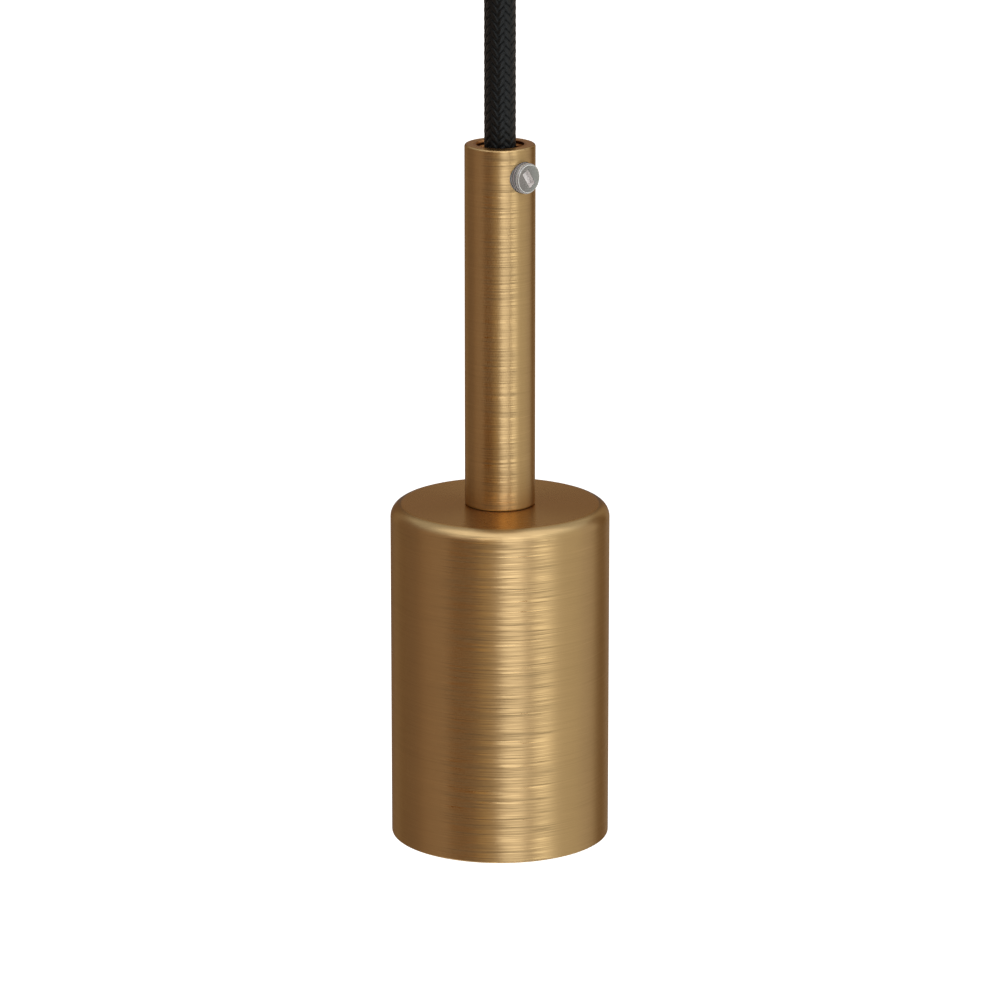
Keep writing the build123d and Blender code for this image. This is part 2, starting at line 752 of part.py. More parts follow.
# Cores: where each leaves the cable, and where its conductor goes in
core_angles = {"live": -30.0, "neutral": 210.0, "earth": 90.0}
core_ends = {
    "live": (terminal_reach, 0, terminal_top),
    "neutral": (-terminal_reach, 0, terminal_top),
}
rose_core_ends = {
    "live": (block_pitch, 0, block_bottom),
    "neutral": (-block_pitch, 0, block_bottom),
    "earth": (0, 0, block_bottom),
}


def core_start(core, level):
    """Centre of a core on the cable's end face at this level."""
    turn = math.radians(core_angles[core])
    return (core_circle * math.cos(turn), core_circle * math.sin(turn), level)


def core_route(start, end, way):
    """Straight out of the cable, across, and straight into the terminal; way is 1 up, -1 down."""
    return [
        start,
        (start[0], start[1], start[2] + way * core_lead),
        (end[0], end[1], end[2] - way * core_lead),
        end,
    ]


def make_core(name, start, end, way):
    """Insulated core along its route, with the bare conductor past its end."""
    route = core_route(start, end, way)
    radii = corner_radii(route)
    print(name, "bends, mm:", [round(radius, 2) for radius in radii])
    with BuildPart() as core:
        with BuildLine():
            path = FilletPolyline(*route, radius=radii)
        with BuildSketch(Plane(origin=start, z_dir=(0, 0, way))):
            Circle(core_radius)
        sweep(path=path)
        with BuildSketch(Plane(origin=end, z_dir=(0, 0, way))):
            Circle(conductor_radius)
        extrude(amount=conductor_length)
    core.part.label = name
    export_step(core.part, "parts/" + name + ".step")


for wire, wire_end in core_ends.items():
    make_core(wire + "_core", core_start(wire, cable_bottom), wire_end, -1)
for wire, wire_end in rose_core_ends.items():
    make_core("rose_" + wire + "_core", core_start(wire, cable_top), wire_end, 1)

# Earth core: down out of the cable and up into the ring terminal's barrel
barrel_mouth = nut_top - earth_leg - earth_barrel_length
earth_start = core_start("earth", cable_bottom)
earth_points = [
    earth_start,
    (0, earth_start[1], cable_bottom - 4.2),
    (0, 3.6, cable_bottom - 7.6),
    (0, 7.6, cable_bottom - 7.2),
    (0, earth_reach, barrel_mouth - 1.4),
    (0, earth_reach, barrel_mouth + conductor_length - hole_gap),
]
earth_radii = corner_radii(earth_points)
print("earth core bends, mm:", [round(radius, 2) for radius in earth_radii])
with BuildPart() as earth_core:
    with BuildLine():
        earth_path = FilletPolyline(*earth_points, radius=earth_radii)
    with BuildSketch(Plane(origin=earth_points[0], z_dir=earth_path % 0)):
        Circle(core_radius)
    sweep(path=earth_path)
earth_core.part.label = "earth_core"
export_step(earth_core.part, "parts/earth_core.step")
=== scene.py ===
"""Looks for the pendant lamp holder: brushed bronze, black braid, clear screws and the fittings inside.

Metres. +Z is up, the origin is the centre of the face that meets the ceiling, and -Y is the front.
The solid parts keep their shapes and get their materials here. Four pieces are shaped here in full:
the braided cable, the two threaded clamp screws and the rolled screw shell. The contact spring is a
copy of its solid.
"""

import math

import bpy
import numpy as np
from mathutils import Matrix, Vector


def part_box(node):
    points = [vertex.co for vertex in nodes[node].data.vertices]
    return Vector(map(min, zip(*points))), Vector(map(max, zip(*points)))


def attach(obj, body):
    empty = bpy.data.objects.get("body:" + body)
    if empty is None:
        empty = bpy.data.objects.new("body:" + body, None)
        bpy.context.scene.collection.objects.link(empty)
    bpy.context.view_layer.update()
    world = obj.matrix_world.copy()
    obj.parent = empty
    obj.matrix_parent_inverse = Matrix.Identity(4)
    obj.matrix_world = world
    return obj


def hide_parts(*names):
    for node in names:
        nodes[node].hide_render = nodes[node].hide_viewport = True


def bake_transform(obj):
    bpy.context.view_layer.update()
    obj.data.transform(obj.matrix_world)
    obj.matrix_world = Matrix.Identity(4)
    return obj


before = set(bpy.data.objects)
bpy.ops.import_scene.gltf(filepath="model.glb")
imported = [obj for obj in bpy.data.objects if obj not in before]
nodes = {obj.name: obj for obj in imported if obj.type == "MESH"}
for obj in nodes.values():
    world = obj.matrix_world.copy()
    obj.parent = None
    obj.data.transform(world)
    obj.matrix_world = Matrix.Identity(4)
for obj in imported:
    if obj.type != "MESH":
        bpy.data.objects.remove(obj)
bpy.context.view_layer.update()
scene = bpy.context.scene


def middle_level(name):
    """Level of the middle of this part's box."""
    low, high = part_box(name)
    return (low[2] + high[2]) / 2


# Places and radii of the solid parts, from the low and high corners of their boxes
TUBE_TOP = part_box("clamp_tube")[1][2]
TUBE_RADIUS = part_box("clamp_tube")[1][0]
GRIP_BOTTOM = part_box("cord_grip")[0][2]
CABLE_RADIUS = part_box("cable")[1][0]
FLANGE_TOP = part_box("screw_shell")[1][2]
SCREW_LEVEL = middle_level("clamp_screw")
GRIP_SCREW_LEVEL = middle_level("grip_screw")

# Sizes shared with the solid parts
SCREW_ANGLE = math.radians(-47.7)
SCREW_RADIUS = 0.00295
SCREW_START = 0.00335
SCREW_END = TUBE_RADIUS + 0.00137
SHELL_SHEET = 0.0004
SHELL_MAJOR = 0.01325
SHELL_MINOR = 0.01215
SHELL_PITCH = 0.00363
SHELL_TURNS = 5
SHELL_LEAD = 0.0016
SHELL_HOLE = 0.006

# The cable's route, as its control points
CABLE_ROUTE = [(0, 0, -0.1661), (0, 0, -0.128), (0, 0, -0.064), (0, 0, -0.024)]


# Camera: a metre in front of the axis, a long lens, looking down

CAMERA_DOWN = math.radians(15.16)
CAMERA_PLACE = (0, -1.0, 0.1155)
CAMERA_LENS = 194.8

camera_data = bpy.data.cameras.new("camera")
camera_data.sensor_width = 36
camera_data.lens = CAMERA_LENS
camera_data.clip_end = 500
camera = bpy.data.objects.new("camera", camera_data)
scene.collection.objects.link(camera)
camera.location = CAMERA_PLACE
camera.rotation_euler = (math.radians(90) - CAMERA_DOWN, 0, 0)
scene.camera = camera


# Shape helpers

def add_piece(name, vertices, faces, smooth=True):
    """New piece with these points and faces."""
    mesh = bpy.data.meshes.new(name)
    mesh.from_pydata([tuple(vertex) for vertex in vertices], [], faces)
    mesh.validate()
    mesh.update()
    if smooth:
        mesh.shade_smooth()
    piece = bpy.data.objects.new(name, mesh)
    scene.collection.objects.link(piece)
    return piece


def grid_faces(rings, around, closed_rings=False):
    """Quads between rings of points; each ring closes on itself."""
    faces = []
    last = rings if closed_rings else rings - 1
    for ring in range(last):
        upper = (ring + 1) % rings
        for step in range(around):
            following = (step + 1) % around
            faces.append((ring * around + step, ring * around + following,
                          upper * around + following, upper * around + step))
    return faces


def tube_faces(rings, around):
    """Quads between rings of points, and a flat face on each end."""
    faces = grid_faces(rings, around)
    faces.append(tuple(reversed(range(around))))
    faces.append(tuple(range((rings - 1) * around, rings * around)))
    return faces


def revolved(profile_at, around):
    """Closed wall: profile_at(angle) gives the (radius, level) points of one section."""
    angles = [2 * math.pi * step / around for step in range(around)]
    sections = [profile_at(angle) for angle in angles]
    count = len(sections[0])
    vertices = []
    for point in range(count):
        for angle, section in zip(angles, sections):
            radius, level = section[point]
            vertices.append((radius * math.cos(angle), radius * math.sin(angle), level))
    return vertices, grid_faces(count, around, closed_rings=True)


def smooth_step(share):
    """Share from 0 to 1, eased at both ends."""
    return share * share * (3 - 2 * share)


def clipped(value):
    """Value kept between 0 and 1."""
    return min(1, max(0, value))


# Surface helpers

class Look:
    """One material, with short calls for the steps of its pattern."""

    def __init__(self, name, **inputs):
        self.material = bpy.data.materials.new(name)
        self.material.use_nodes = True
        self.tree = self.material.node_tree
        self.shader = self.tree.nodes["Principled BSDF"]
        for key, value in inputs.items():
            self.shader.inputs[key.replace("_", " ")].default_value = value
        self.place = self.tree.nodes.new("ShaderNodeTexCoord").outputs["Object"]
        self.x, self.y, self.z = self.node("SeparateXYZ", self.place).outputs

    def put(self, socket, value):
        """Link a value to an input, or write it there."""
        if isinstance(value, bpy.types.NodeSocket):
            self.tree.links.new(value, socket)
        else:
            socket.default_value = value

    def set(self, name, value):
        """Give the surface one of its qualities."""
        self.put(self.shader.inputs[name], value)

    def node(self, kind, *values):
        """New node, its first inputs filled in order."""
        node = self.tree.nodes.new("ShaderNode" + kind)
        for socket, value in zip(node.inputs, values):
            self.put(socket, value)
        return node

    def math(self, operation, *values, clamp=False):
        node = self.node("Math", *values)
        node.operation = operation
        node.use_clamp = clamp
        return node.outputs[0]

    def plus(self, first, second):
        return self.math("ADD", first, second)

    def minus(self, first, second):
        return self.math("SUBTRACT", first, second)

    def times(self, first, second):
        return self.math("MULTIPLY", first, second)

    def over(self, first, second):
        return self.math("DIVIDE", first, second)

    def size(self, value):
        return self.math("ABSOLUTE", value)

    def total(self, *terms):
        """Sum of (value, weight) pairs, each value taken about its middle of 0.5."""
        result = None
        for value, weight in terms:
            part = self.times(self.minus(value, 0.5), weight)
            result = part if result is None else self.plus(result, part)
        return result

    def length(self, first, second):
        """Distance from the axis of a point with these two coordinates across it."""
        return self.math("SQRT", self.plus(self.times(first, first), self.times(second, second)))

    def vector(self, x, y, z):
        return self.node("CombineXYZ", x, y, z).outputs[0]

    def vector_math(self, operation, *values):
        node = self.node("VectorMath", *values)
        node.operation = operation
        return node.outputs[0]

    def noise(self, vector, scale=1.0, detail=2.0):
        node = self.node("TexNoise", vector)
        node.inputs["Scale"].default_value = scale
        node.inputs["Detail"].default_value = detail
        return node.outputs[0]

    def step(self, value, low, high, to_low=0.0, to_high=1.0):
        """Smooth step of value from low to high."""
        node = self.node("MapRange", value, low, high, to_low, to_high)
        node.interpolation_type = "SMOOTHSTEP"
        return node.outputs[0]

    def mix(self, kind, factor, first, second):
        node = self.tree.nodes.new("ShaderNodeMix")
        node.data_type = "RGBA"
        node.blend_type = kind
        self.put(node.inputs["Factor"], factor)
        self.put(node.inputs[6], first)
        self.put(node.inputs[7], second)
        return node.outputs[2]

    def blend(self, factor, first, second):
        """From the first colour to the second."""
        return self.mix("MIX", factor, first, second)

    def scaled(self, colour, factor):
        """Colour times a number near 1."""
        return self.mix("MULTIPLY", 1, colour, self.vector(factor, factor, factor))

    def bump(self, height, depth, strength=1.0, under=None):
        """Facing of a surface that this height raises, by depth at most."""
        node = self.tree.nodes.new("ShaderNodeBump")
        node.inputs["Distance"].default_value = depth
        node.inputs["Strength"].default_value = strength
        self.put(node.inputs["Height"], height)
        if under is not None:
            self.put(node.inputs["Normal"], under)
        return node.outputs[0]


def wear(node_names, look):
    """Give these solid parts one material."""
    for name in node_names:
        slots = nodes[name].material_slots
        for slot in slots:
            slot.material = look.material
        if not slots:
            nodes[name].data.materials.append(look.material)


# Bronze: cup, clamp tube, rose and cord grip

BRONZE = (0.31, 0.216, 0.106, 1)
BRONZE_EDGE = (0.58, 0.5, 0.42, 1)
# Level faces get a warmer, more orange bronze and edge tint: a painted reflection of the tube on the
# cup's top face
LEVEL_REFLECTION_BRONZE = (0.36, 0.216, 0.09, 1)
LEVEL_REFLECTION_EDGE = (1.0, 0.72, 0.46, 1)

# Rows of brushing: (length along the row, height of a row)
HAIR = (0.007, 0.00014)
LINE = (0.014, 0.0002)
BAND = (0.02, 0.0007)
ROW_SHIFT = 7.31
DARKEST_STREAK = 0.68
LIGHTEST_STREAK = 1.35
STREAK_LEAN = 0.07
STREAK_SMOOTHNESS = 0.15

# Passes of brushing round the axis, and the share of streaks between them and on level faces
PASSES = 3
BETWEEN_PASSES = 0.15
CALM_SHARE = 0.08

# Tilts over which a surface leaves the wall, grows calm and becomes level: 0 is upright, 1 is level
LEAVING_WALL = (0.03, 0.35)
GROWING_CALM = (0.3, 0.9)
BECOMING_LEVEL = (0.965, 0.999)

# Corners are this much smoother than walls, and level faces as much again
SMOOTHER = 0.055

# Bores up to this radius are tapped, and their bronze is darkened and reddened as painted shade
TAPPED_RADIUS = 0.00506
TAPPED_PITCH = 0.001
TAPPED_DEPTH = 0.00035


def brushed(name, colour, edge, level_reflection_colour, level_reflection_edge, roughness, stretch, streaks):
    """Metal brushed round its axis: fine lines on walls and corners, calm level faces in a warmer bronze
    that is a painted reflection of the tube, tapped bores in a darker, redder bronze that is painted
    shade.
    """
    look = Look(name, Metallic=1.0, Anisotropic=stretch, Anisotropic_Rotation=0.25)
    radius = look.length(look.x, look.y)
    level = look.minus(radius, look.z)

    def rows(length, height):
        """Rows of this height, each with its own changes along the brushing."""
        row = look.times(look.math("FLOOR", look.over(level, height)), ROW_SHIFT)
        place = look.vector(look.over(look.x, length), look.over(look.y, length), row)
        return look.noise(place, detail=1)

    facing = look.node("NewGeometry").outputs["Normal"]
    tilt = look.size(look.node("SeparateXYZ", facing).outputs[2])
    off_wall = look.step(tilt, *LEAVING_WALL)
    off_level = look.step(tilt, *GROWING_CALM, 1.0, CALM_SHARE)
    level_face = look.step(tilt, *BECOMING_LEVEL)
    tapped = look.step(radius, TAPPED_RADIUS, TAPPED_RADIUS + 0.00006, 1.0, 0.0)

    # The passes of brushing stand out round the axis
    azimuth = look.math("ARCTAN2", look.x, look.times(look.y, -1))
    passes = look.math("COSINE", look.times(azimuth, PASSES))
    worked = look.times(look.step(passes, -0.25, 0.45, BETWEEN_PASSES, 1.0), off_level)
    hair = rows(*HAIR)
    line = rows(*LINE)
    band = rows(*BAND)
    texture = look.total((hair, 1.2), (line, 1.6), (band, 0.4))
    texture = look.times(texture, look.plus(look.size(texture), 0.9))
    texture = look.times(texture, worked)

    tone = look.plus(look.times(texture, streaks), 1.0)
    tone = look.math("MAXIMUM", look.math("MINIMUM", tone, LIGHTEST_STREAK), DARKEST_STREAK)
    tone = look.plus(tone, look.total((look.noise(look.place, scale=90, detail=3), 0.10)))
    # Level faces blend to the warmer bronze, the painted reflection of the tube
    metal = look.blend(level_face, colour, level_reflection_colour)
    # Tapped bores: a darker, redder bronze, painted shade inside the bore
    metal = look.blend(tapped, metal, (0.75 * colour[0], 0.5 * colour[1], 0.4 * colour[2], 1))
    look.set("Base Color", look.scaled(metal, tone))
    # The warm edge tint on level faces is part of the same painted reflection
    look.set("Specular Tint", look.blend(level_face, edge, level_reflection_edge))
    base = look.minus(roughness, look.times(off_wall, SMOOTHER))
    base = look.minus(base, look.times(level_face, SMOOTHER))
    sleek = look.times(texture, STREAK_SMOOTHNESS)
    look.set("Roughness", look.math("SUBTRACT", base, sleek, clamp=True))

    # Each streak leans a little round the axis, and tapped bores carry a thread
    lean = look.times(look.over(texture, radius), STREAK_LEAN)
    leaning = look.vector(look.times(look.times(look.y, -1), lean), look.times(look.x, lean), 0.0)
    turned = look.vector_math("NORMALIZE", look.vector_math("ADD", facing, leaning))
    turns = look.plus(look.over(look.z, TAPPED_PITCH), look.over(azimuth, 2 * math.pi))
    thread = look.math("SINE", look.times(turns, 2 * math.pi))
    thread = look.times(thread, look.times(tapped, 0.5))
    grooved = look.bump(thread, TAPPED_DEPTH, under=turned)
    scratches = look.times(look.total((hair, 0.6), (line, 1.0)), off_level)
    look.set("Normal", look.bump(scratches, 0.00002, 0.2, under=grooved))
    tangent = look.node("Tangent")
    tangent.direction_type = "RADIAL"
    tangent.axis = "Z"
    look.set("Tangent", tangent.outputs[0])
    return look


wear(["cup", "clamp_tube", "rose_cup", "cord_grip", "rose_side_screws"],
     brushed("brushed_bronze", BRONZE, BRONZE_EDGE, LEVEL_REFLECTION_BRONZE, LEVEL_REFLECTION_EDGE, 0.38, 0.7, 0.62))


# Fittings

def cast(name, colour, roughness, metallic=0.0, grain=0.0006, depth=0.00002, spread=0.12, **inputs):
    """Moulded, glazed, stamped or drawn surface with a fine even grain."""
    look = Look(name, Metallic=metallic, **inputs)
    fine = look.noise(look.place, scale=1 / grain, detail=3)
    broad = look.noise(look.place, scale=160, detail=2)
    shade = look.plus(look.total((fine, spread), (broad, spread)), 1.0)
    look.set("Base Color", look.scaled(colour, shade))
    look.set("Roughness", look.plus(look.total((fine, 0.15), (broad, 0.12)), roughness))
    look.set("Normal", look.bump(fine, depth, 0.5))
    return look


wear(["nipple", "lock_washer", "earth_ring", "nipple_nut", "rose_bracket", "grip_nut"],
     cast("zinc_plated_steel", (0.33, 0.335, 0.33, 1), 0.4, metallic=1.0, grain=0.0009, spread=0.22))
wear(["dome", "skirt"],
     cast("black_moulding", (0.022, 0.022, 0.023, 1), 0.42, grain=0.0005, spread=0.25))
wear(["contact_carrier"],
     cast("glazed_ceramic", (0.78, 0.75, 0.69, 1), 0.22, grain=0.0011, spread=0.05, Coat_Weight=0.4))
wear(["terminal_block"],
     cast("white_moulding", (0.76, 0.76, 0.74, 1), 0.38, grain=0.0007, spread=0.04))
wear(["centre_contact", "centre_eyelet", "live_terminal", "neutral_terminal", "block_barrels"],
     cast("contact_brass", (0.66, 0.44, 0.17, 1), 0.3, metallic=1.0, grain=0.0008))
wear(["contact_spring", "terminal_screws", "block_screws"],
     cast("spring_steel", (0.42, 0.43, 0.44, 1), 0.26, metallic=1.0, grain=0.0004))
wear(["shell_rivets"],
     cast("rivet_metal", (0.62, 0.6, 0.56, 1), 0.3, metallic=1.0, grain=0.0005))
wear(["live_core", "rose_live_core"],
     cast("brown_insulation", (0.11, 0.045, 0.02, 1), 0.4, grain=0.0008))
wear(["neutral_core", "rose_neutral_core"],
     cast("blue_insulation", (0.015, 0.07, 0.28, 1), 0.4, grain=0.0008))

# Earth cores: green, with a yellow stripe along the middle
EARTH_GREEN = (0.03, 0.2, 0.03, 1)
EARTH_YELLOW = (0.62, 0.52, 0.03, 1)
STRIPE_HALF = 0.00034

earth = Look("striped_insulation", Roughness=0.4)
beside = earth.step(earth.size(earth.x), STRIPE_HALF, STRIPE_HALF + 0.00008)
earth_grain = earth.noise(earth.place, scale=1200, detail=3)
earth_shade = earth.plus(earth.total((earth_grain, 0.2)), 1.0)
earth.set("Base Color", earth.scaled(earth.blend(beside, EARTH_YELLOW, EARTH_GREEN), earth_shade))
earth.set("Normal", earth.bump(earth_grain, 0.00002, 0.5))
wear(["earth_core", "rose_earth_core"], earth)


# Contact spring: a copy of the coil of the solids, between stud and eyelet, in place of the solid

spring = bpy.data.objects.new("coil_spring", nodes["contact_spring"].data.copy())
scene.collection.objects.link(spring)
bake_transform(spring)
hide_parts("contact_spring")


# Braided cable: 28 carriers, two over and two under, on a tube that follows the route

BRAID_COLUMNS = 14
BRAID_PITCH = 0.00164
BRAID_RELIEF = 0.00038
BRAID_TURN = math.radians(-112)
BRAID_START = 0.75
STRAND_WIDTH = 0.97

# Shares of the relief: going over and under, the strand's round back, its yarns
OVER_SHARE = 0.28
BACK_SHARE = 0.69
YARN_SHARE = 0.03

# The rings stand close where the braid shows, and apart inside the tube and the grip
CABLE_AROUND = 160
SHOWN_RING = 0.000115
HIDDEN_RING = 0.0012
SHOWN_IN_TUBE = 0.009
SHOWN_IN_GRIP = 0.003

# Painted shade in the braid's gaps, and the yarn's own black on its crowns
BRAID_GAP_SHADE = (0.0002, 0.0002, 0.0003, 1)
THREAD_BLACK = (0.0045, 0.0045, 0.0047, 1)


def braid_height(angles, levels):
    """Height of the braid from 0 in its gaps to 1 on its crowns."""
    around = (angles - BRAID_TURN) * BRAID_COLUMNS / (2 * math.pi) + BRAID_START
    along = levels / BRAID_PITCH
    height = np.zeros_like(around)
    for sign, lead in ((1, 1), (-1, 3)):
        strand = around + sign * along
        crossing = around - sign * along
        index = np.floor(strand)
        across = 2 * (strand - index) - 1
        lift = np.cos(2 * math.pi * (crossing + index - lead) / 4)
        back = np.sqrt(np.clip(1 - (STRAND_WIDTH * across) ** 2, 0, 1))
        yarns = np.cos(5 * math.pi * across)
        height = np.maximum(height, OVER_SHARE * lift + BACK_SHARE * back + YARN_SHARE * yarns)
    return np.clip(height, 0, 1)


def route_points(points):
    """Points along the smooth curve with these control points."""
    data = bpy.data.curves.new("route", "CURVE")
    data.dimensions = "3D"
    data.resolution_u = 32
    spline = data.splines.new("NURBS")
    spline.points.add(len(points) - 1)
    for control, point in zip(spline.points, points):
        control.co = (*point, 1)
    spline.order_u = 3
    spline.use_endpoint_u = True
    holder = bpy.data.objects.new("route", data)
    line = bpy.data.meshes.new_from_object(holder)
    places = [vertex.co.copy() for vertex in line.vertices]
    bpy.data.objects.remove(holder)
    bpy.data.curves.remove(data)
    bpy.data.meshes.remove(line)
    return places


cable_path = route_points(CABLE_ROUTE)
runs = [(after - before).length for before, after in zip(cable_path, cable_path[1:])]
path_lengths = np.concatenate([[0], np.cumsum(runs)])
path_array = np.array([tuple(point) for point in cable_path])
shown_from = TUBE_TOP - SHOWN_IN_TUBE - cable_path[0].z
shown_to = GRIP_BOTTOM + SHOWN_IN_GRIP - cable_path[0].z
ring_places = np.concatenate([
    np.arange(0, shown_from, HIDDEN_RING),
    np.arange(shown_from, shown_to, SHOWN_RING),
    np.arange(shown_to, path_lengths[-1], HIDDEN_RING),
    [path_lengths[-1]],
])
cable_angles = np.linspace(0, 2 * math.pi, CABLE_AROUND, endpoint=False)
cable_vertices = []
for place in ring_places:
    x, y, z = [np.interp(place, path_lengths, path_array[:, axis]) for axis in range(3)]
    relief = braid_height(cable_angles, np.full(CABLE_AROUND, place))
    radii = CABLE_RADIUS - BRAID_RELIEF * (1 - relief)
    for angle, radius in zip(cable_angles, radii):
        cable_vertices.append((x + radius * math.cos(angle), y + radius * math.sin(angle), z))
cable = add_piece("braided_cable", cable_vertices, tube_faces(len(ring_places), CABLE_AROUND))

braid = Look("black_braid", Specular_IOR_Level=0.16, Specular_Tint=(0.84, 0.93, 1.0, 1))
raised = braid.step(braid.length(braid.x, braid.y),
                    CABLE_RADIUS - 0.6 * BRAID_RELIEF, CABLE_RADIUS - 0.05 * BRAID_RELIEF)
fibre = braid.noise(braid.place, scale=5200, detail=2)
tuft = braid.noise(braid.place, scale=900, detail=2)
braid_shade = braid.plus(braid.total((fibre, 0.5), (tuft, 0.5)), 1.0)
# The gaps take the painted shade and the crowns the yarn's black
braid.set("Base Color", braid.scaled(braid.blend(raised, BRAID_GAP_SHADE, THREAD_BLACK), braid_shade))
sheen = braid.minus(braid.total((tuft, 0.2)), braid.times(raised, 0.6))
braid.set("Roughness", braid.plus(sheen, 0.88))
braid.set("Normal", braid.bump(fibre, 0.00004, 0.6))
cable.data.materials.append(braid.material)
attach(cable, "holder")
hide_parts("cable")


# Clear clamp screws: a threaded rod with a chamfered, slotted end

SCREW_PITCH = 0.001
SCREW_THREAD = 0.00038
SCREW_CHAMFER = 0.00028
SCREW_EASE = 0.00005
SCREW_TURN = 0.54
THREAD_END = 0.0001
THREAD_FADE = 0.0002
RIDGE_REACH = 2.1
RIDGE_STEEPNESS = 6
SCREW_AROUND = 128
SCREW_STEPS = 260
SLOT_WIDTH = 0.00165
SLOT_DEPTH = 0.0013
SLOT_LENGTH = 0.0034
SLOT_TILT = math.radians(33)

# Where the chamfer starts, out along the screw, and where it ends, out from its axis
BRIM = SCREW_END - SCREW_CHAMFER
FACE_RADIUS = SCREW_RADIUS - SCREW_CHAMFER

# Just inside the thread's roots, and just short of the chamfer
SCREW_CORE = SCREW_RADIUS - SCREW_THREAD - 2 * SCREW_EASE
BEFORE_BRIM = BRIM - 0.00002

# Half widths of the painted highlights on the rims: full up to the first, gone at the second
INNER_RIM = (0.00003, 0.00008)
OUTER_RIM = (0.00008, 0.00014)
INNER_RIM_INSET = 0.00005
OUTER_RIM_INSET = 0.00012

# Depths over which the painted light and shade turn: below the crests, before the chamfer, under the
# slotted face
CREST_ZONE = (0.00022, 0.0001)
BODY_ZONE = 0.00015
MILLED_ZONE = (0.0002, 0.00006)
MILLED_REACH = 0.002

# The screws' tones paint their light: a shaded and a lit side, highlights on crests and rims, shade in
# the grooves, and a pale slot that is partly frosted milled plastic
PLASTIC_PAINTED_SHADE = (0.2, 0.185, 0.18, 1)
PLASTIC_PAINTED_LIGHT = (0.27, 0.28, 0.265, 1)
PLASTIC_CREST_HIGHLIGHT = (0.36, 0.33, 0.34, 1)
PLASTIC_GROOVE_SHADE = (0.11, 0.1, 0.1, 1)
PLASTIC_RIM_HIGHLIGHT = (0.68, 0.69, 0.66, 1)
PLASTIC_MILLED_AND_LIT = (0.64, 0.6, 0.59, 1)


def screw_radius(out, share):
    """Radius of the threaded rod at this distance out, and this share of a turn."""
    phase = ((out - SCREW_START) / SCREW_PITCH - share + SCREW_TURN) % 1
    ridge = smooth_step(clipped(RIDGE_REACH - abs(phase - 0.5) * RIDGE_STEEPNESS))
    fade = clipped((BRIM - out - THREAD_END) / THREAD_FADE)
    end = min(out - SCREW_START, SCREW_END - out)
    return SCREW_RADIUS - SCREW_EASE - SCREW_THREAD * (1 - ridge) * fade - max(0, SCREW_CHAMFER - end)


def slot_cutter(name):
    """Block that cuts the slot across the screw's end."""
    half = Vector((SLOT_WIDTH / 2, SLOT_LENGTH / 2, SLOT_DEPTH))
    turn = Matrix.Rotation(SLOT_TILT, 4, "Z")
    corners = []
    for k in (-1, 1):
        for j in (-1, 1):
            for i in (-1, 1):
                corners.append(turn @ Vector((half.x * i, half.y * j, SCREW_END + half.z * k)))
    sides = [(0, 2, 3, 1), (4, 5, 7, 6), (0, 1, 5, 4), (2, 6, 7, 3), (0, 4, 6, 2), (1, 3, 7, 5)]
    return add_piece(name, corners, sides, smooth=False)


def screw_piece(name, level, replaced):
    """Threaded screw on the sideways axis at this level, from near the cable to its slotted face."""
    vertices = []
    for step in range(SCREW_STEPS + 1):
        out = SCREW_START + (SCREW_END - SCREW_START) * step / SCREW_STEPS
        for turn in range(SCREW_AROUND):
            angle = 2 * math.pi * turn / SCREW_AROUND
            radius = screw_radius(out, turn / SCREW_AROUND)
            vertices.append((radius * math.cos(angle), radius * math.sin(angle), out))
    rod = add_piece(name, vertices, tube_faces(SCREW_STEPS + 1, SCREW_AROUND), smooth=False)
    cutter = slot_cutter(name + "_cutter")
    cut = rod.modifiers.new("slot", "BOOLEAN")
    cut.operation = "DIFFERENCE"
    cut.solver = "EXACT"
    cut.object = cutter
    bpy.context.view_layer.update()
    slotted = bpy.data.meshes.new_from_object(rod.evaluated_get(bpy.context.evaluated_depsgraph_get()))
    rod.modifiers.clear()
    rod.data = slotted
    bpy.data.objects.remove(cutter)

    # The thread is smooth all over; only the chamfer and the slot keep sharp edges
    rod.data.shade_smooth()
    rod.data.set_sharp_from_angle(angle=math.radians(35))
    for crease in rod.data.edges:
        ends = [rod.data.vertices[index].co for index in crease.vertices]
        if all(end.z < BEFORE_BRIM and end.xy.length > SCREW_CORE for end in ends):
            crease.use_edge_sharp = False

    outward = Vector((math.cos(SCREW_ANGLE), math.sin(SCREW_ANGLE), 0))
    across = Vector((-math.sin(SCREW_ANGLE), math.cos(SCREW_ANGLE), 0))
    lying = Matrix((across, Vector((0, 0, 1)), outward)).transposed().to_4x4()
    rod.data.transform(Matrix.Translation((0, 0, level)) @ lying)
    rod.data.materials.clear()
    rod.data.materials.append(clear_plastic(name + "_plastic", level).material)
    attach(rod, replaced)
    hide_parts(replaced)


